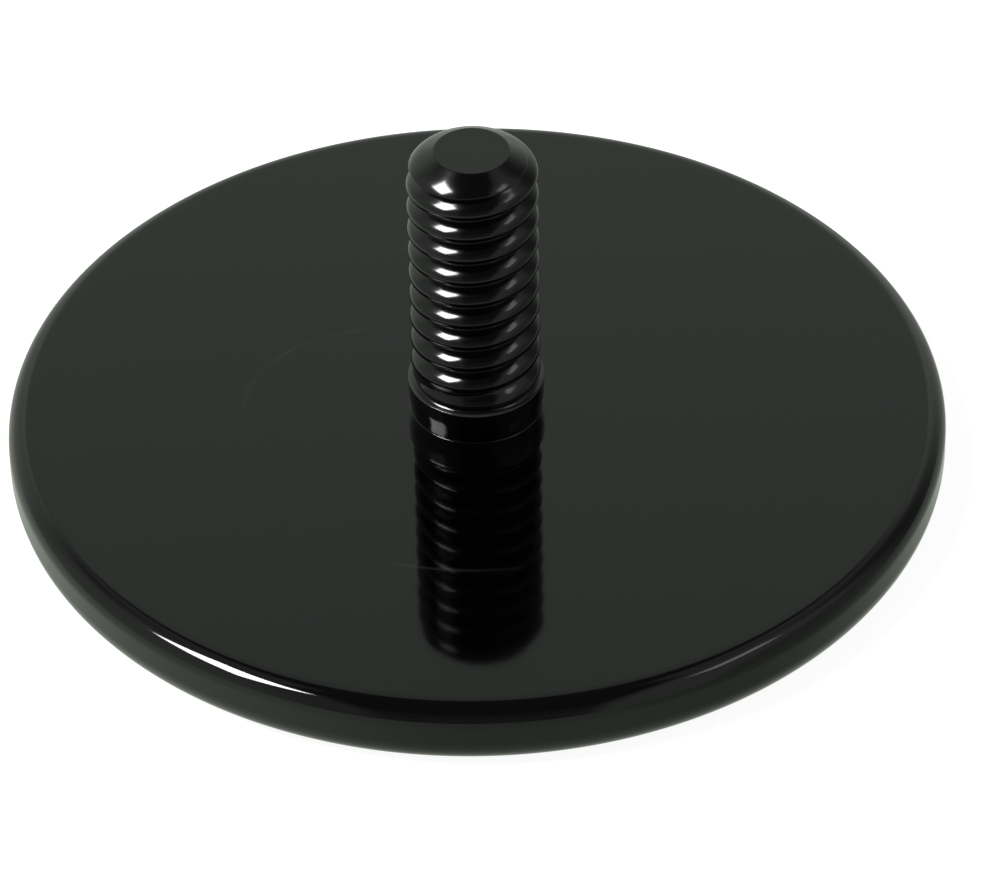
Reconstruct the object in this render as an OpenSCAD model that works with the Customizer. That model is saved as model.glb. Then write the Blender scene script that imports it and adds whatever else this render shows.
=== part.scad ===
// Stud disc: a round steel mounting disc with a threaded stud standing in its centre.
// Millimetres. +Z up along the stud, origin on the axis at the disc's underside.

/* [Disc] */
// Outer diameter of the disc
disc_d = 44.45; // [30:0.05:80]
// Thickness of the disc
disc_t = 3.4; // [2.8:0.05:6]
// Radius of the disc's upper edge
top_edge_r = 0.95; // [0.2:0.05:1.1]
// Radius of the disc's lower edge
bottom_edge_r = 1.6; // [0.2:0.05:1.65]

/* [Stud] */
// Diameter of the stud's plain neck
neck_d = 6.45; // [5:0.05:10]
// Height of the plain neck above the disc
neck_h = 1.7; // [1:0.1:4]
// Height of the whole stud above the disc
stud_h = 14.85; // [8:0.05:40]
// How far the neck stands out past the thread's crests
neck_step = 0.16; // [0.04:0.02:0.28]
// How far the knurled shank, pressed in the disc, stands out past the neck
shank_step = 0.2; // [0.05:0.05:0.5]
// Width and height of the domed point, between the crests and its flat end
point_size = 1.3; // [0.4:0.05:1.5]
// How far the domed point's face turns between its two edges
point_dome = 56; // [10:2:88]
// Depth of the hollow between the neck and the thread, from the neck's shoulder
relief_depth = 0.36; // [0.3:0.02:0.6]
// Height of that hollow
relief_h = 0.45; // [0.2:0.05:0.8]
// How far the flush head reaches out past the neck
head_lip = 1.525; // [0.8:0.025:3]
// Thickness of the flush head in the disc's underside
head_t = 1.2; // [0.6:0.05:1.6]

/* [Thread] */
// Thread pitch
pitch = 1.27; // [0.8:0.01:1.55]
// Turns over which the thread fades out above the neck
fade_turns = 0.75; // [0.25:0.05:1.5]
// Where round the stud the thread starts
thread_angle = 100; // [0:5:355]

/* [Fits] */
// Radial clearance of the pressed shank in the disc's bore
shank_gap = 0.05; // [0.02:0.01:0.1]
// Radial clearance of the head in its counterbore
head_gap = 0.1; // [0.05:0.01:0.2]

/* [Hidden] */
$fn = 128;
// How far a cutter runs past the face that it opens
over = 1;
eps = 0.01;

disc_r = disc_d / 2;
neck_r = neck_d / 2;
shank_r = neck_r + shank_step;
head_r = neck_r + head_lip;
crest_r = neck_r - neck_step;
relief_r = neck_r - relief_depth;
neck_top = disc_t + neck_h;
stud_top = disc_t + stud_h;
crest_top = stud_top - point_size;

// Unified thread form: 60 degree flanks, a crest flat of an eighth of the pitch
// and a root flat of a quarter of it.
flank = tan(30);
crest_flat = pitch / 8;
root_flat = pitch / 4;
thread_depth = (pitch - crest_flat - root_flat) / 2 / flank;

// The groove is swept up the stud in steps, right-handed. It starts just above the
// neck, reaches its full depth past the fade and runs out through the point.
steps_per_turn = 36;
groove_over = 0.1;
groove_start = neck_top + pitch / 6;
groove_turns = (stud_top - groove_start) / pitch + 1;
groove_steps = round(groove_turns * steps_per_turn);

// The corners of the groove's section at a step, from the lower outer one inwards.
// They fan out from the crests, where the groove's depth is none at its first step.
function groove_section(i) =
    let (
        turn = i / steps_per_turn,
        depth = thread_depth * min(1, turn / fade_turns),
        inner = crest_r + groove_over / 2 - depth,
        outer = crest_r + groove_over,
        half_in = root_flat / 2,
        half_out = half_in + (outer - inner) * flank,
        mid = groove_start + pitch * turn
    )
    [for (p = [[outer, -half_out], [inner, -half_in], [inner, half_in], [outer, half_out]])
        [p[0] * cos(360 * turn), p[0] * sin(360 * turn), mid + p[1]]];

// The thread's groove as one closed tube with four sides
module thread_groove() {
    sides = 4;
    last = groove_steps * sides;
    points = [for (i = [0 : groove_steps]) each groove_section(i)];
    skin = [
        for (i = [0 : groove_steps - 1], k = [0 : sides - 1])
            let (
                here = i * sides + k,
                next = i * sides + (k + 1) % sides
            )
            each [[here, next + sides, next], [here, here + sides, next + sides]]
    ];
    first_cap = [[0, 1, 2], [0, 2, 3]];
    last_cap = [[last, last + 2, last + 1], [last, last + 3, last + 2]];
    polyhedron(points = points, faces = concat(skin, first_cap, last_cap), convexity = 20);
}

// Turns a square corner at the origin, its sides along -X and -Y, into a round one
module corner_cutter(r) {
    translate([-r, -r])
    difference() {
        square(r + eps);
        circle(r);
    }
}

module disc() {
    color("#1c1c1c")
    difference() {
        rotate_extrude()
        difference() {
            square([disc_r, disc_t]);
            translate([disc_r, disc_t])
            corner_cutter(top_edge_r);
            translate([disc_r, 0])
            mirror([0, 1])
            corner_cutter(bottom_edge_r);
        }
        translate([0, 0, -over])
        cylinder(r = shank_r + shank_gap, h = disc_t + 2 * over);
        translate([0, 0, -over])
        cylinder(r = head_r + head_gap, h = head_t + over);
    }
}

// The hollow above the neck: it sweeps up from the neck's shoulder to the crests
relief_steps = 8;
relief_curve = [
    for (i = [0 : relief_steps])
        let (share = i / relief_steps)
        [relief_r + (crest_r - relief_r) * share * share, neck_top + relief_h * share]
];

// The domed point: an arc from the crests to the flat end, about a centre further in
dome_steps = 12;
dome_r = point_size / sqrt(2) / sin(point_dome / 2);
dome_from = 45 - point_dome / 2;
dome_curve = [
    for (i = [0 : dome_steps])
        let (a = dome_from + point_dome * i / dome_steps)
        [
            crest_r + dome_r * (cos(a) - cos(dome_from)),
            crest_top + dome_r * (sin(a) - sin(dome_from))
        ]
];

// The stud before its thread is cut: flush head, pressed shank, neck, and up to the point
module stud_blank() {
    cylinder(r = head_r, h = head_t);
    cylinder(r = shank_r, h = disc_t);
    cylinder(r = neck_r, h = neck_top);
    rotate_extrude()
    polygon(concat([[0, 0], [relief_r, 0]], relief_curve, dome_curve, [[0, stud_top]]));
}

module stud() {
    color("#202020")
    difference() {
        stud_blank();
        rotate([0, 0, thread_angle])
        thread_groove();
    }
}

disc();
stud();
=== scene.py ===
"""Stud disc: a gloss-black steel disc with a threaded stud in its centre.

Laid out as a Blender add-on and run as a script. Lengths are in metres, in the frame of
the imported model: +Z up along the stud, origin on its axis at the disc's underside.
"""

import math

import bmesh
import bpy
from bpy.props import FloatProperty, FloatVectorProperty, IntProperty, PointerProperty
from mathutils import Matrix, Vector


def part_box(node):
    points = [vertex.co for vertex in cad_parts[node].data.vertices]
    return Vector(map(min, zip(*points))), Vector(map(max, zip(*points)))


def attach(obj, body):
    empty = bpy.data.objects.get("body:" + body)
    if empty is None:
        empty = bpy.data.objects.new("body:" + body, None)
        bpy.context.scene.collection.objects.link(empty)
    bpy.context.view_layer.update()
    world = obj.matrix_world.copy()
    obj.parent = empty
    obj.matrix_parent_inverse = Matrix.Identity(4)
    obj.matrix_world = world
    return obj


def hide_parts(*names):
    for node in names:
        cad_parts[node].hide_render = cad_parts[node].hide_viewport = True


bl_info = {
    "name": "Stud disc",
    "version": (1, 0, 0),
    "blender": (4, 5, 0),
    "location": "3D View > Sidebar > Stud disc",
    "description": "Builds a gloss-black mounting disc with a threaded stud, and its stage",
    "category": "Object",
}

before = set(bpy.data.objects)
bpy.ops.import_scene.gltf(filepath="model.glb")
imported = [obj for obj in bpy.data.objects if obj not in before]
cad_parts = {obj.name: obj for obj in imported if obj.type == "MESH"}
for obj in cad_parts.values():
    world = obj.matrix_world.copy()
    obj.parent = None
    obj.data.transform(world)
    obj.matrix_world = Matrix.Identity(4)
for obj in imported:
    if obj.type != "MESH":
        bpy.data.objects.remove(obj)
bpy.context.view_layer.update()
DISC_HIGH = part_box("disc")[1]
STUD_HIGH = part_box("stud")[1]

MM = 0.001

# Points of an outline that are closer than this, in metres, are one point
SAME_POINT = 1e-8
# How far down the gap between the bore and the neck the coating reaches
FILM_DEPTH = 0.1 * MM
# How far the coating on the disc laps into the stud, so that no slit opens between them
LAP = 0.005 * MM
# Where the thread's groove starts above the neck, as a share of the pitch
GROOVE_START = 1 / 6
# How far above the neck's shoulder the thread may cut, as a share of the pitch
SHOULDER_CLEAR = 1 / 1000

# Each softbox's azimuth and elevation in degrees, and its width and height in metres
KEY_WAY, KEY_SIZE = (-77, 53), (0.36, 0.34)
FILL_WAY, FILL_SIZE = (76, 53), (0.28, 0.14)
SOFTBOX_DISTANCE = 1.0
# The floor's width, and how far it lies below the disc
FLOOR_WIDTH, FLOOR_GAP = 8.0, 0.01 * MM
# The camera's distance, in radii of the disc
CAMERA_DISTANCE = 13.94
# How far the camera looks past the disc's centre, in degrees to the right and down
AIM_RIGHT, AIM_DOWN = 0.196, 0.387

# Short names for the kinds of node that come up often, and the setting of a smooth ramp
MATHS = "ShaderNodeMath"
VECTOR_MATHS = "ShaderNodeVectorMath"
RAMP = "ShaderNodeMapRange"
SMOOTH = {"interpolation_type": "SMOOTHSTEP"}
NOISE = "ShaderNodeTexNoise"
SPLIT = "ShaderNodeSeparateXYZ"


def linear(hex_colour):
    """An sRGB colour such as "1a2b3c" as linear red, green and blue."""
    channels = [int(hex_colour[i : i + 2], 16) / 255 for i in (0, 2, 4)]
    return tuple(c / 12.92 if c <= 0.04045 else ((c + 0.055) / 1.055) ** 2.4 for c in channels)


def length(name, description, default):
    """A user's length in metres."""
    return FloatProperty(
        name=name, description=description, default=default, min=0.0, max=0.1,
        precision=5, subtype="DISTANCE", unit="LENGTH",
    )


def colour(name, description, hex_colour):
    """A user's colour, given as sRGB hex."""
    return FloatVectorProperty(
        name=name, description=description, default=linear(hex_colour), min=0, max=1,
        size=3, subtype="COLOR",
    )


def angle(name, description, degrees):
    """A user's angle, given in degrees."""
    return FloatProperty(
        name=name, description=description, default=math.radians(degrees),
        subtype="ANGLE", unit="ROTATION",
    )


# ---------------------------------------------------------------- what a user can change


class DiscSizes(bpy.types.PropertyGroup):
    """Sizes of the disc that its box in the frame doesn't give."""

    top_edge: length("Upper edge", "Radius of the disc's upper edge", 0.95 * MM)
    bottom_edge: length("Lower edge", "Radius of the disc's lower edge", 1.6 * MM)
    head_seam: length("Head seam", "Width of the seam round the flush head", 0.1 * MM)
    seam_depth: length("Seam depth", "Depth at which coating fills the head's seam", 0.18 * MM)
    seam_lip: length("Seam lip", "Radius of the edges along the head's seam", 0.08 * MM)
    meniscus: length("Meniscus", "Radius of the coating's fillet at the stud's foot", 0.04 * MM)
    segments: IntProperty(
        name="Segments", description="Facets round the disc", default=288, min=32
    )


class StudSizes(bpy.types.PropertyGroup):
    """Sizes of the stud that its box in the frame doesn't give."""

    head_height: length("Head", "Thickness of the flush head", 1.2 * MM)
    shank_radius: length("Shank", "Radius of the shank pressed in the disc", 3.425 * MM)
    neck_radius: length("Neck", "Radius of the plain neck", 3.225 * MM)
    neck_height: length("Neck height", "Height of the plain neck above the disc", 1.7 * MM)
    waist: length("Waist", "How far the neck draws in towards its foot", 0.09 * MM)
    shoulder: length("Shoulder", "Rounding of the neck's upper edge", 0.05 * MM)
    relief: length("Relief", "Depth of the hollow above the neck, from its shoulder", 0.36 * MM)
    relief_height: length("Relief height", "Height of the hollow above the neck", 0.45 * MM)
    crest_radius: length("Crests", "Radius over the thread's crests", 3.065 * MM)
    pitch: length("Pitch", "Thread pitch", 1.27 * MM)
    thread_depth: length(
        "Thread depth", "Depth of the thread once coating has filled its roots", 0.6 * MM
    )
    crest_share: FloatProperty(
        name="Crest share", default=0.7, min=0.3, max=1.5,
        description="Below 1 the coating's crests are broad and its roots tight",
    )
    point_size: length("Point", "Width and height of the domed point", 1.3 * MM)
    point_slope: angle("Point slope", "How steeply the point's face looks up at its flat end", 64)
    point_turn: angle("Point turn", "How far the point's face turns towards the crests", 64)
    fade_turns: FloatProperty(
        name="Fade", description="Turns over which the thread fades out", default=0.75, min=0.1
    )
    start_angle: angle("Thread start", "Where round the stud the thread starts", 100)
    segments: IntProperty(
        name="Segments", description="Facets round the stud", default=144, min=32
    )
    rows_per_turn: IntProperty(name="Rows", description="Rows for each turn", default=36, min=12)


class CoatingLook(bpy.types.PropertyGroup):
    """The gloss-black coating."""

    black: colour("Black", "The coating's own colour, under its gloss", "010101")
    scuff: colour("Scuff", "The coating's colour where it is rubbed", "141414")
    # the grey of the highlight painted along the stud's shoulder
    rub_and_highlight_grey: colour("Worn", "The coating's colour along its worn edges", "2b2b2b")
    disc_roughness: FloatProperty(
        name="Disc roughness", description="Roughness of the coating on the disc",
        default=0.06, min=0, max=1,
    )
    stud_roughness: FloatProperty(
        name="Stud roughness", description="Roughness of the coating on the stud",
        default=0.13, min=0, max=1,
    )
    peel: length("Orange peel", "Height of the coating's fine waves", 0.0006 * MM)


class StageLook(bpy.types.PropertyGroup):
    """The floor, the lights and the camera."""

    floor: colour("Floor", "The floor's own colour", "8c8c8c")
    glow: FloatProperty(name="Glow", description="Light the floor gives off", default=0.93, min=0)
    key: FloatProperty(name="Key", description="Radiance of the key softbox", default=32, min=0)
    fill: FloatProperty(
        name="Fill", description="Radiance of the fill softbox", default=2.0, min=0
    )
    lens: FloatProperty(name="Lens", description="Focal length in millimetres", default=235.3)
    elevation: angle("Elevation", "How far the camera looks down", 39.17)
    roll: angle("Roll", "How far the camera leans", 1.22)


# ------------------------------------------------------------------------ small helpers


def add(tree, kind, inputs=(), **settings):
    """Adds a node with its settings, and fills its inputs.

    The inputs are {socket: value}, or values in the order of the node's sockets. A value that
    is an output is linked, and so is a node, by its first output.
    """
    node = tree.nodes.new(kind)
    for name, value in settings.items():
        setattr(node, name, value)
    for key, value in inputs.items() if isinstance(inputs, dict) else enumerate(inputs):
        source = value.outputs[0] if isinstance(value, bpy.types.Node) else value
        if isinstance(source, bpy.types.NodeSocket):
            tree.links.new(source, node.inputs[key])
        else:
            node.inputs[key].default_value = source
    return node


def arc(centre, radius, start, end, steps):
    """Points (r, z) on a circle round centre, between two angles in degrees."""
    turns = [math.radians(start + (end - start) * i / steps) for i in range(steps + 1)]
    return [(centre[0] + radius * math.cos(t), centre[1] + radius * math.sin(t)) for t in turns]


def line(a, b, steps):
    """Points (r, z) along a straight stretch. A close pair at each end keeps its shading flat."""
    near = 0.02
    shares = [0.0, near] + [i / steps for i in range(1, steps)] + [1.0 - near, 1.0]
    return [tuple(p + (q - p) * s for p, q in zip(a, b)) for s in shares]


def lathe(name, profile, segments):
    """Turns a closed outline of (r, z) points round Z. A point on the axis makes one vertex."""
    ends = zip(profile, profile[1:] + profile[:1])
    outline = [here for here, ahead in ends if math.dist(here, ahead) > SAME_POINT]
    mesh = bmesh.new()
    rings = []
    for r, z in outline:
        if r < SAME_POINT:
            rings.append([mesh.verts.new((0, 0, z))] * segments)
            continue
        turns = [2 * math.pi * i / segments for i in range(segments)]
        rings.append([mesh.verts.new((r * math.cos(t), r * math.sin(t), z)) for t in turns])
    for low, high in zip(rings, rings[1:] + rings[:1]):
        for i in range(segments):
            j = (i + 1) % segments
            corners = list(dict.fromkeys([low[i], low[j], high[j], high[i]]))
            if len(corners) > 2:
                mesh.faces.new(corners)
    bmesh.ops.recalc_face_normals(mesh, faces=mesh.faces)
    if mesh.calc_volume(signed=True) < 0:
        bmesh.ops.reverse_faces(mesh, faces=mesh.faces)
    for face in mesh.faces:
        face.smooth = True
    data = bpy.data.meshes.new(name)
    mesh.to_mesh(data)
    mesh.free()
    piece = bpy.data.objects.new(name, data)
    bpy.context.scene.collection.objects.link(piece)
    return piece


def finish_piece(piece, node):
    """Puts a finished piece in the frame, in place of its CAD node."""
    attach(piece, "root")
    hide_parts(node)


# ---------------------------------------------------------------------------- materials


def gloss_black(name, look, roughness, rub_and_highlight_grey, marks):
    """Gloss-black epoxy coating over steel, sprayed and baked.

    To the eye it is a black mirror: no colour of its own, sharp reflections near what
    touches it that blur with distance, and a fine orange peel. Where it is rubbed it turns
    greyer, and so it does where a highlight is painted on; marks is the function that says how
    much.
    """
    material = bpy.data.materials.new(name)
    material.use_nodes = True
    tree = material.node_tree
    tree.nodes.clear()
    place = add(tree, "ShaderNodeTexCoord").outputs["Object"]
    # baked epoxy flows out to waves of about 0.7 mm, with finer ones in them
    peel = add(
        tree, NOISE, {"Vector": place, "Scale": 1 / (0.7 * MM), "Detail": 2.0, "Roughness": 0.45}
    )
    # the gloss comes and goes by a seventh of itself, in patches of about 6 mm
    patches = add(
        tree, NOISE, {"Vector": place, "Scale": 1 / (6 * MM), "Detail": 4.0, "Roughness": 0.6}
    )
    dull = add(
        tree, RAMP,
        {"Value": patches.outputs["Fac"], "From Min": 0.3, "From Max": 0.7,
         "To Min": roughness * 0.85, "To Max": roughness * 1.15},
    )
    # greyer where the disc is rubbed, and where the stud's shoulder has its painted highlight
    black = add(
        tree, "ShaderNodeMix",
        {0: marks(tree, place), 6: (*look.black, 1), 7: (*rub_and_highlight_grey, 1)},
        data_type="RGBA",
    ).outputs[2]
    bump = add(
        tree, "ShaderNodeBump",
        {"Height": peel.outputs["Fac"], "Distance": look.peel, "Strength": 1.0},
    )
    coat = add(
        tree, "ShaderNodeBsdfPrincipled",
        {"Base Color": black, "Roughness": dull, "IOR": 1.5, "Normal": bump},
    )
    add(tree, "ShaderNodeOutputMaterial", {"Surface": coat})
    return material


def ring_mark(tree, place, centre, radius, width, depth):
    """How much the coating is rubbed along a ring of this radius round centre, from above."""
    away = add(tree, VECTOR_MATHS, (place, centre), operation="SUBTRACT")
    flat = add(tree, VECTOR_MATHS, (away, (1, 1, 0)), operation="MULTIPLY")
    reach = add(tree, VECTOR_MATHS, (flat,), operation="LENGTH").outputs["Value"]
    off = add(tree, MATHS, (reach, radius), operation="SUBTRACT")
    off = add(tree, MATHS, (off,), operation="ABSOLUTE")
    return add(
        tree, RAMP,
        {"Value": off, "From Min": 0.0, "From Max": width, "To Min": depth, "To Max": 0.0},
        **SMOOTH,
    )


def rub_marks(tree, place):
    """How much the coating is rubbed.

    Round things have stood on the disc and left two faint, broken arcs, one behind the stud to
    its left and a wider one in front, round the stud. A faint smudge lies between that and the
    stud.
    """
    split = add(tree, SPLIT, (place,)).outputs

    # the arc behind shows only on its far side, and breaks up every 3 mm or so
    behind = ring_mark(
        tree, place, centre=(-4.9 * MM, -0.6 * MM, 0), radius=6.2 * MM, width=0.2 * MM, depth=0.8
    )
    far = add(tree, RAMP, (split["Y"], -1.6 * MM, 1.4 * MM, 0.0, 1.0))
    breaks = add(tree, NOISE, {"Vector": place, "Scale": 1 / (3 * MM), "Detail": 1.0})
    broken = add(tree, RAMP, (breaks.outputs["Fac"], 0.42, 0.6, 0.0, 1.0))
    behind = add(tree, MATHS, (behind, far), operation="MULTIPLY")
    behind = add(tree, MATHS, (behind, broken), operation="MULTIPLY")

    # of the wider one only a short stretch in front is left, which fades to the right
    front = ring_mark(
        tree, place, centre=(0, 0, 0), radius=12.3 * MM, width=0.16 * MM, depth=1.0
    )
    near = add(tree, RAMP, (split["Y"], -11.9 * MM, -11.5 * MM, 1.0, 0.0))
    left = add(tree, RAMP, (split["X"], -1.0 * MM, 2.4 * MM, 1.0, 0.0))
    front = add(tree, MATHS, (front, near), operation="MULTIPLY")
    front = add(tree, MATHS, (front, left), operation="MULTIPLY")

    # a ring of no radius is a spot; its grain is 0.6 mm
    smudge = ring_mark(
        tree, place, centre=(-1.9 * MM, -6.6 * MM, 0), radius=0.0, width=1.2 * MM, depth=0.45
    )
    specks = add(tree, NOISE, {"Vector": place, "Scale": 1 / (0.6 * MM), "Detail": 3.0})
    grain = add(tree, RAMP, (specks.outputs["Fac"], 0.4, 0.65, 0.2, 1.0))
    smudge = add(tree, MATHS, (smudge, grain), operation="MULTIPLY")

    arcs = add(tree, MATHS, (behind, front), operation="MAXIMUM")
    return add(tree, MATHS, (arcs, smudge), operation="MAXIMUM")


def painted_shoulder_highlight(tree, place):
    """How much highlight is painted on: a lighter ring round the neck's flat shoulder, where its
    edge catches the light.
    """
    stud = bpy.context.scene.stud_sizes
    ring = ring_mark(
        tree, place, centre=(0, 0, 0), radius=stud.neck_radius - stud.shoulder,
        width=stud.relief / 2, depth=0.9,
    )
    # the painted highlight is full as far as 0.03 mm above and below the shoulder, and gone at
    # 0.07 mm
    rise = add(tree, SPLIT, (place,)).outputs["Z"]
    off = add(tree, MATHS, (rise, DISC_HIGH.z + stud.neck_height), operation="SUBTRACT")
    off = add(tree, MATHS, (off,), operation="ABSOLUTE")
    level = add(tree, RAMP, (off, 0.03 * MM, 0.07 * MM, 1.0, 0.0))
    return add(tree, MATHS, (ring, level), operation="MULTIPLY")


# ------------------------------------------------------------------------------ the disc


def disc_outline(disc, stud):
    """The disc's section as a closed outline, from the stud's foot outwards and back below."""
    rim, top = DISC_HIGH.x, DISC_HIGH.z
    foot = stud.neck_radius - stud.waist + LAP
    bore = stud.shank_radius + disc.head_seam / 2
    head = STUD_HIGH.x + disc.head_seam
    up, low, fillet, lip = disc.top_edge, disc.bottom_edge, disc.meniscus, disc.seam_lip
    outline = [(bore, top - FILM_DEPTH), (foot, top - FILM_DEPTH)]
    outline += arc((foot + fillet, top + fillet), fillet, 180, 270, steps=8)
    outline += line((foot + fillet, top), (rim - up, top), steps=6)
    outline += arc((rim - up, top - up), up, 90, 0, steps=24)
    outline += line((rim, top - up), (rim, low), steps=3)
    outline += arc((rim - low, low), low, 0, -90, steps=32)
    outline += line((rim - low, 0), (head + lip, 0), steps=6)
    outline += arc((head + lip, lip), lip, 270, 180, steps=8)
    # above this depth the coating fills the seam up to the head
    filled = STUD_HIGH.x + LAP
    outline += [(head, disc.seam_depth), (filled, disc.seam_depth)]
    outline += [(filled, stud.head_height), (bore, stud.head_height)]
    return outline


class STUDDISC_OT_disc(bpy.types.Operator):
    """Turn the disc, with its rounded edges, bore and counterbore"""

    bl_idname = "studdisc.disc"
    bl_label = "Disc"

    def execute(self, context):
        scene = context.scene
        disc, look = scene.disc_sizes, scene.coating_look
        piece = lathe("disc_body", disc_outline(disc, scene.stud_sizes), disc.segments)
        material = gloss_black(
            "gloss_black_epoxy_on_disc", look, look.disc_roughness, look.scuff, rub_marks
        )
        piece.data.materials.append(material)
        finish_piece(piece, "disc")
        return {"FINISHED"}


# ------------------------------------------------------------------------------ the stud


def stud_outline(stud, disc):
    """The blank's section from axis to axis: head, shank, neck, rows for the thread, point."""
    top, face = STUD_HIGH.z, DISC_HIGH.z
    head, lip = STUD_HIGH.x, disc.seam_lip
    neck_top = face + stud.neck_height
    shoulder = stud.shoulder
    flat = stud.crest_radius - stud.point_size
    crest_end = top - stud.point_size
    outline = line((0, 0), (head - lip, 0), steps=4)
    outline += arc((head - lip, lip), lip, 270, 360, steps=8)
    outline += [(head, stud.head_height), (stud.shank_radius, stud.head_height)]
    outline += [(stud.shank_radius, face - FILM_DEPTH)]
    outline += [(stud.neck_radius - stud.waist, face - FILM_DEPTH)]
    outline += waisted_neck(stud, face, neck_top - shoulder)
    outline += arc(
        (stud.neck_radius - shoulder, neck_top - shoulder), shoulder, 0, 90, steps=6
    )
    outline += relief(stud, neck_top)
    start = neck_top + stud.relief_height
    rows = math.ceil((crest_end - start) / stud.pitch * stud.rows_per_turn)
    outline += [
        (stud.crest_radius, start + (crest_end - start) * i / rows) for i in range(1, rows + 1)
    ]
    outline += domed_point(stud, (stud.crest_radius, crest_end), (flat, top))
    outline += line((flat, top), (0, top), steps=4)
    return outline


def waisted_neck(stud, low, high):
    """The plain neck: upright above, and drawn in a little over its lower part."""
    steps, drawn_in = 16, 0.58
    outline = []
    for i in range(steps + 1):
        share = i / steps
        waist = stud.waist * max(0.0, drawn_in - share) / drawn_in
        outline.append((stud.neck_radius - waist, low + (high - low) * share))
    return outline


def relief(stud, neck_top):
    """The hollow between the neck's flat shoulder and the thread, swept up to the crests."""
    deep = stud.neck_radius - stud.relief
    wide = stud.crest_radius - deep
    rows = math.ceil(stud.rows_per_turn * stud.relief_height / stud.pitch)
    return [
        (deep + wide * (i / rows) ** 2, neck_top + stud.relief_height * i / rows)
        for i in range(rows + 1)
    ]


def domed_point(stud, start, end):
    """The point's face: a cone next to the flat end that turns late towards the crests."""
    steps, late = 2 * stud.rows_per_turn, 3.0
    run = [(0.0, 0.0)]
    for i in range(steps):
        share = (i + 0.5) / steps
        facing = stud.point_slope - stud.point_turn * share**late
        run.append((run[-1][0] + math.sin(facing), run[-1][1] + math.cos(facing)))
    wide, high = (start[0] - end[0]) / run[-1][0], (end[1] - start[1]) / run[-1][1]
    return [(end[0] + r * wide, end[1] - z * high) for r, z in reversed(run)]


THREAD_INPUTS = (
    "Pitch", "Depth", "Crest share", "Crest radius",
    "Neck top", "Start", "Start turn", "Fade turns",
)


def thread_tree(material):
    """Geometry Nodes: cuts a right-handed thread into a lathed blank.

    A point at height z and turn t round the axis is nearest to the groove's turn n + t,
    where n is the whole number next to (z - start) / pitch - t. The groove's depth follows
    from how far the point is from that turn.
    """
    tree = bpy.data.node_groups.new("Rolled thread", "GeometryNodeTree")
    tree.is_modifier = True
    interface = tree.interface
    interface.new_socket("Geometry", in_out="INPUT", socket_type="NodeSocketGeometry")
    for name in THREAD_INPUTS:
        interface.new_socket(name, in_out="INPUT", socket_type="NodeSocketFloat")
    interface.new_socket("Geometry", in_out="OUTPUT", socket_type="NodeSocketGeometry")
    given = add(tree, "NodeGroupInput").outputs
    place = add(tree, "GeometryNodeInputPosition")
    split = add(tree, SPLIT, (place,)).outputs

    # how far out each point is, and how far round, in turns after the thread's start
    square_x = add(tree, MATHS, (split["X"], split["X"]), operation="MULTIPLY")
    square_y = add(tree, MATHS, (split["Y"], split["Y"]), operation="MULTIPLY")
    squares = add(tree, MATHS, (square_x, square_y), operation="ADD")
    radius = add(tree, MATHS, (squares,), operation="SQRT")
    turn = add(tree, MATHS, (split["Y"], split["X"]), operation="ARCTAN2")
    turn = add(tree, MATHS, (turn, 2 * math.pi), operation="DIVIDE")
    turn = add(tree, MATHS, (turn, given["Start turn"]), operation="SUBTRACT")
    turn = add(tree, MATHS, (turn,), operation="FRACT")

    # how far up or down the groove's nearest turn is, as a share of the pitch
    climb = add(tree, MATHS, (split["Z"], given["Start"]), operation="SUBTRACT")
    climb = add(tree, MATHS, (climb, given["Pitch"]), operation="DIVIDE")
    climb = add(tree, MATHS, (climb, turn), operation="SUBTRACT")
    whole = add(tree, MATHS, (climb,), operation="ROUND")
    off = add(tree, MATHS, (climb, whole), operation="SUBTRACT")
    off = add(tree, MATHS, (off,), operation="ABSOLUTE")

    # coating has filled the rolled form, so that crests and roots run into one another in waves
    share = add(tree, MATHS, (off, 2.0), operation="MULTIPLY")
    share = add(tree, MATHS, (share, given["Crest share"]), operation="POWER")
    wave = add(tree, MATHS, (share, math.pi), operation="MULTIPLY")
    wave = add(tree, MATHS, (wave,), operation="COSINE")
    wave = add(tree, MATHS, (wave, 1.0), operation="ADD")
    wave = add(tree, MATHS, (wave, 0.5), operation="MULTIPLY")
    turns = add(tree, MATHS, (whole, turn), operation="ADD")
    fade = add(tree, RAMP, (turns, 0.0, given["Fade turns"], 0.0, 1.0), **SMOOTH)
    cut = add(tree, MATHS, (given["Depth"], wave), operation="MULTIPLY")
    cut = add(tree, MATHS, (cut, fade), operation="MULTIPLY")

    # points above the neck move in to the groove and none moves out; on the axis none moves
    smallest_radius = 1e-6
    groove = add(tree, MATHS, (given["Crest radius"], cut), operation="SUBTRACT")
    threaded = add(tree, MATHS, (radius, groove), operation="MINIMUM")
    off_axis = add(tree, MATHS, (radius, smallest_radius), operation="MAXIMUM")
    scale = add(tree, MATHS, (threaded, off_axis), operation="DIVIDE")
    above = add(tree, MATHS, (split["Z"], given["Neck top"]), operation="GREATER_THAN")
    below = add(tree, MATHS, (1.0, above), operation="SUBTRACT")
    scale = add(tree, MATHS, (scale, above), operation="MULTIPLY")
    scale = add(tree, MATHS, (scale, below), operation="ADD")
    x = add(tree, MATHS, (split["X"], scale), operation="MULTIPLY")
    y = add(tree, MATHS, (split["Y"], scale), operation="MULTIPLY")
    moved = add(tree, "ShaderNodeCombineXYZ", (x, y, split["Z"]))
    shaped = add(
        tree, "GeometryNodeSetPosition", {"Geometry": given["Geometry"], "Position": moved}
    )
    real = add(tree, "GeometryNodeRealizeInstances", {"Geometry": shaped})
    painted = add(tree, "GeometryNodeSetMaterial", {"Geometry": real, "Material": material})
    add(tree, "NodeGroupOutput", {"Geometry": painted})
    return tree


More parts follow.
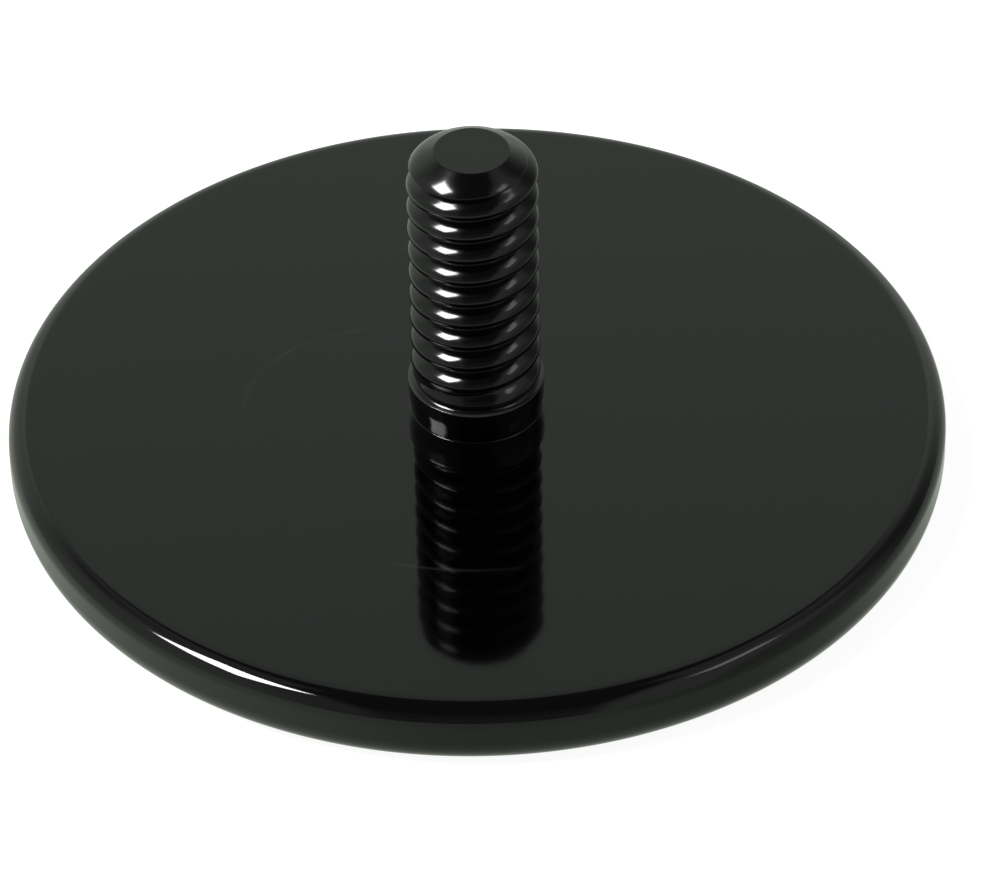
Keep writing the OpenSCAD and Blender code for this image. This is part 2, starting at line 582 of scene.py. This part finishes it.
def run_tree(piece, tree, values):
    """Runs a Geometry Nodes tree on a piece and keeps what it makes as the piece's own mesh."""
    modifier = piece.modifiers.new(tree.name, "NODES")
    modifier.node_group = tree
    for socket in tree.interface.items_tree:
        if socket.in_out == "INPUT" and socket.name in values:
            modifier[socket.identifier] = values[socket.name]
    depsgraph = bpy.context.evaluated_depsgraph_get()
    made = bpy.data.meshes.new_from_object(
        piece.evaluated_get(depsgraph), preserve_all_data_layers=True, depsgraph=depsgraph
    )
    piece.modifiers.remove(modifier)
    piece.data = made
    made.name = piece.name


class STUDDISC_OT_stud(bpy.types.Operator):
    """Turn the stud's blank and cut its thread with Geometry Nodes"""

    bl_idname = "studdisc.stud"
    bl_label = "Stud"

    def execute(self, context):
        scene = context.scene
        stud, look = scene.stud_sizes, scene.coating_look
        # the stud's coating gets a highlight painted round its shoulder
        material = gloss_black(
            "gloss_black_epoxy_on_stud", look, look.stud_roughness, look.rub_and_highlight_grey, painted_shoulder_highlight
        )
        piece = lathe("stud_body", stud_outline(stud, scene.disc_sizes), stud.segments)
        neck_top = DISC_HIGH.z + stud.neck_height
        values = {
            "Pitch": stud.pitch,
            "Crest radius": stud.crest_radius,
            "Depth": stud.thread_depth,
            "Crest share": stud.crest_share,
            "Neck top": neck_top + stud.pitch * SHOULDER_CLEAR,
            "Start": neck_top + stud.pitch * GROOVE_START,
            "Start turn": stud.start_angle / (2 * math.pi),
            "Fade turns": stud.fade_turns,
        }
        run_tree(piece, thread_tree(material), values)
        finish_piece(piece, "stud")
        return {"FINISHED"}


# ----------------------------------------------------------------------------- the stage


def direction(azimuth, elevation):
    """The way from the object to something at these angles in degrees.

    Azimuth 0 is the camera's side, and 90 is to its right.
    """
    a, e = math.radians(azimuth), math.radians(elevation)
    return Vector((math.sin(a) * math.cos(e), -math.cos(a) * math.cos(e), math.sin(e)))


def softbox(name, way, size, radiance):
    """A rectangular area light that faces the object and gives it this radiance."""
    width, height = size
    lamp = bpy.data.lights.new(name, "AREA")
    lamp.shape = "RECTANGLE"
    lamp.size, lamp.size_y = width, height
    lamp.energy = radiance * math.pi * width * height
    holder = bpy.data.objects.new(name, lamp)
    towards = direction(*way)
    turned = towards.to_track_quat("Z", "Y").to_matrix().to_4x4()
    holder.matrix_world = Matrix.Translation(towards * SOFTBOX_DISTANCE) @ turned
    bpy.context.scene.collection.objects.link(holder)


# The studio's light is set by direction: x points to the right, y back and z up, each from
# -1 to 1. A ramp's inputs are its coordinate, from, to, value at from and value at to.


def room_light(tree, x, y, z):
    """The room's light in each direction above the table.

    The room is pale, with brighter walls in front, to the left and to the right. Its middle is
    darker, over a zone that is wide in front and narrow behind, and so are its far corners.
    """
    pale_level, middle_shade = 0.3, 0.18

    # the dark zone in the middle, which gets darker upwards
    half_width = add(tree, RAMP, (y, -0.1, 0.3, 0.39, 0.2), **SMOOTH)
    aside = add(tree, MATHS, (x,), operation="ABSOLUTE")
    aside = add(tree, MATHS, (aside, half_width), operation="DIVIDE")
    inside = add(tree, RAMP, (aside, 0.85, 1.15, 1.0, 0.0), **SMOOTH)
    lighter = add(tree, RAMP, (z, 0.5, 0.35, 0.0, 0.04), **SMOOTH)
    darker = add(tree, RAMP, (z, 0.68, 0.76, 0.0, 0.05), **SMOOTH)
    dark = add(tree, MATHS, (middle_shade, lighter), operation="SUBTRACT")
    dark = add(tree, MATHS, (dark, darker), operation="ADD")
    dark = add(tree, MATHS, (dark, inside), operation="MULTIPLY")

    # the far corners
    back = add(tree, RAMP, (y, 0.1, 0.4, 0.0, 1.0), **SMOOTH)
    right_corner = add(tree, RAMP, (x, 0.35, 0.6, 0.0, 0.16), **SMOOTH)
    right_corner = add(tree, MATHS, (back, right_corner), operation="MULTIPLY")
    back = add(tree, RAMP, (y, 0.2, 0.5, 0.0, 1.0), **SMOOTH)
    left_corner = add(tree, RAMP, (x, -0.3, -0.5, 0.0, 0.12), **SMOOTH)
    left_corner = add(tree, MATHS, (left_corner, back), operation="MULTIPLY")
    corners = add(tree, MATHS, (right_corner, left_corner), operation="ADD")

    # the brighter walls; the right one is a strip
    front = add(tree, RAMP, (y, 0.2, 0.5, 1.0, 0.0), **SMOOTH)
    left = add(tree, RAMP, (x, -0.5, -0.85, 0.0, 0.2), **SMOOTH)
    left = add(tree, MATHS, (left, front), operation="MULTIPLY")
    front = add(tree, RAMP, (y, 0.1, 0.3, 1.0, 0.0), **SMOOTH)
    right = add(tree, RAMP, (x, 0.35, 0.5, 0.0, 0.15), **SMOOTH)
    strip_end = add(tree, RAMP, (x, 0.75, 0.85, 1.0, 0.0), **SMOOTH)
    right = add(tree, MATHS, (right, strip_end), operation="MULTIPLY")
    right = add(tree, MATHS, (right, front), operation="MULTIPLY")

    walls = add(tree, MATHS, (left, right), operation="ADD")
    pale = add(tree, MATHS, (walls, pale_level), operation="ADD")
    shade = add(tree, MATHS, (dark, corners), operation="ADD")
    return add(tree, MATHS, (pale, shade), operation="SUBTRACT")


def backdrop_light(tree, x, y, z):
    """The light of a backdrop behind the disc, up to some 44 degrees high."""
    # it stands 10 degrees to the left of straight behind
    back_share, left_share = 0.985, 0.17
    ahead = add(tree, MATHS, (y, back_share), operation="MULTIPLY")
    sideways = add(tree, MATHS, (x, -left_share), operation="MULTIPLY")
    facing = add(tree, MATHS, (ahead, sideways), operation="ADD")
    spread = add(tree, RAMP, (facing, 0.3, 0.8, 0.0, 1.0), **SMOOTH)
    upper_edge = add(tree, RAMP, (z, 0.66, 0.74, 1.0, 0.0), **SMOOTH)
    level = add(tree, RAMP, (z, 0.56, 0.7, 0.5, 0.37), **SMOOTH)
    shape = add(tree, MATHS, (upper_edge, spread), operation="MULTIPLY")
    return add(tree, MATHS, (shape, level), operation="MULTIPLY")


def table_light(tree, x, y):
    """The table's light: brighter to the left and towards the back, darker to the right."""
    left = add(tree, RAMP, (x, 0.0, -0.85, 0.46, 0.7), **SMOOTH)
    right = add(tree, RAMP, (x, 0.3, 0.9, 0.0, -0.14), **SMOOTH)
    back = add(tree, RAMP, (y, -0.3, 0.5, 0.0, 0.14), **SMOOTH)
    sides = add(tree, MATHS, (left, right), operation="ADD")
    return add(tree, MATHS, (sides, back), operation="ADD")


def studio_world():
    """A pale room with a dark middle, a backdrop and a table, as the coating mirrors them."""
    world = bpy.data.worlds.new("studio")
    world.use_nodes = True
    tree = world.node_tree
    tree.nodes.clear()
    way = add(tree, "ShaderNodeTexCoord").outputs["Generated"]
    x, y, z = add(tree, SPLIT, (way,)).outputs
    room = room_light(tree, x, y, z)
    backdrop = backdrop_light(tree, x, y, z)
    upper = add(tree, MATHS, (backdrop, room), operation="ADD")
    above = add(tree, RAMP, (z, -0.02, 0.02, 0.0, 1.0), **SMOOTH)
    below = add(tree, MATHS, (1.0, above), operation="SUBTRACT")
    upper = add(tree, MATHS, (upper, above), operation="MULTIPLY")
    lower = add(tree, MATHS, (below, table_light(tree, x, y)), operation="MULTIPLY")
    light = add(tree, MATHS, (upper, lower), operation="ADD")
    # both halves are a little green, the lower one more
    tint = add(
        tree, "ShaderNodeMix",
        {0: above, 6: (*linear("f4fff0"), 1), 7: (*linear("f6fff6"), 1)},
        data_type="RGBA",
    ).outputs[2]
    sky = add(tree, "ShaderNodeBackground", {"Color": tint, "Strength": light})
    add(tree, "ShaderNodeOutputWorld", {"Surface": sky})
    bpy.context.scene.world = world


def floor_material(stage):
    """Matt white laminate, lit a little from below like a light table, so that it stays pale.

    It is clear from below, so that the underside can be looked at.
    """
    material = bpy.data.materials.new("matt_white_laminate")
    material.use_nodes = True
    tree = material.node_tree
    tree.nodes.clear()
    matt = add(tree, "ShaderNodeBsdfDiffuse", {"Color": (*stage.floor, 1)})
    glow = add(tree, "ShaderNodeEmission", {"Color": (1, 1, 1, 1), "Strength": stage.glow})
    lit = add(tree, "ShaderNodeAddShader", (matt, glow))
    under = add(tree, "ShaderNodeNewGeometry").outputs["Backfacing"]
    clear = add(tree, "ShaderNodeBsdfTransparent")
    one_sided = add(tree, "ShaderNodeMixShader", (under, lit, clear))
    add(tree, "ShaderNodeOutputMaterial", {"Surface": one_sided})
    return material


def make_floor(stage):
    """A pale floor, just under the disc."""
    half = FLOOR_WIDTH / 2
    sides = ((-half, -half), (half, -half), (half, half), (-half, half))
    data = bpy.data.meshes.new("floor")
    data.from_pydata([(x, y, -FLOOR_GAP) for x, y in sides], [], [(0, 1, 2, 3)])
    floor = bpy.data.objects.new("floor", data)
    data.materials.append(floor_material(stage))
    bpy.context.scene.collection.objects.link(floor)
    # the coating mirrors the room's own lower half, not this floor, which is lit to stay white
    floor.visible_glossy = False


def make_camera(stage):
    """A long lens that looks down at the disc from the front."""
    data = bpy.data.cameras.new("camera")
    data.lens, data.sensor_width = stage.lens, 36
    data.clip_start, data.clip_end = 0.01, 20
    camera = bpy.data.objects.new("camera", data)
    bpy.context.scene.collection.objects.link(camera)
    target = Vector((0, 0, DISC_HIGH.z))
    way = direction(0, math.degrees(stage.elevation))
    camera.matrix_world = (
        Matrix.Translation(target + way * CAMERA_DISTANCE * DISC_HIGH.x)
        @ Matrix.Rotation(math.pi / 2 - stage.elevation, 4, "X")
        @ Matrix.Rotation(-math.radians(AIM_RIGHT), 4, "Y")
        @ Matrix.Rotation(-math.radians(AIM_DOWN), 4, "X")
        @ Matrix.Rotation(-stage.roll, 4, "Z")
    )
    bpy.context.scene.camera = camera


class STUDDISC_OT_stage(bpy.types.Operator):
    """Make the floor, the soft lights and the camera"""

    bl_idname = "studdisc.stage"
    bl_label = "Stage"

    def execute(self, context):
        stage = context.scene.stage_look
        make_floor(stage)
        studio_world()
        softbox("key_softbox", KEY_WAY, KEY_SIZE, stage.key)
        softbox("fill_softbox", FILL_WAY, FILL_SIZE, stage.fill)
        make_camera(stage)
        context.scene.view_settings.view_transform = "Standard"
        return {"FINISHED"}


# ----------------------------------------------------------------------------- the add-on


class STUDDISC_PT_panel(bpy.types.Panel):
    """The stud disc's sizes, looks and buttons."""

    bl_idname = "STUDDISC_PT_panel"
    bl_label = "Stud disc"
    bl_space_type = "VIEW_3D"
    bl_region_type = "UI"
    bl_category = "Stud disc"

    def draw(self, context):
        for name in GROUPS:
            settings = getattr(context.scene, name)
            box = self.layout.box()
            for key in settings.bl_rna.properties.keys():
                if key not in ("rna_type", "name"):
                    box.prop(settings, key)
        for operator in OPERATORS:
            self.layout.operator(operator.bl_idname)


GROUPS = {
    "disc_sizes": DiscSizes,
    "stud_sizes": StudSizes,
    "coating_look": CoatingLook,
    "stage_look": StageLook,
}
OPERATORS = (STUDDISC_OT_disc, STUDDISC_OT_stud, STUDDISC_OT_stage)
CLASSES = (*GROUPS.values(), *OPERATORS, STUDDISC_PT_panel)


def register():
    """Registers the classes and hangs their settings on the scene."""
    for item in CLASSES:
        bpy.utils.register_class(item)
    for name, group in GROUPS.items():
        setattr(bpy.types.Scene, name, PointerProperty(type=group))


def unregister():
    """Takes the settings off the scene again, and unregisters the classes."""
    for name in GROUPS:
        delattr(bpy.types.Scene, name)
    for item in reversed(CLASSES):
        bpy.utils.unregister_class(item)


def main():
    """Makes both pieces and their stage."""
    register()
    bpy.ops.studdisc.disc()
    bpy.ops.studdisc.stud()
    bpy.ops.studdisc.stage()


if __name__ == "__main__":
    main()
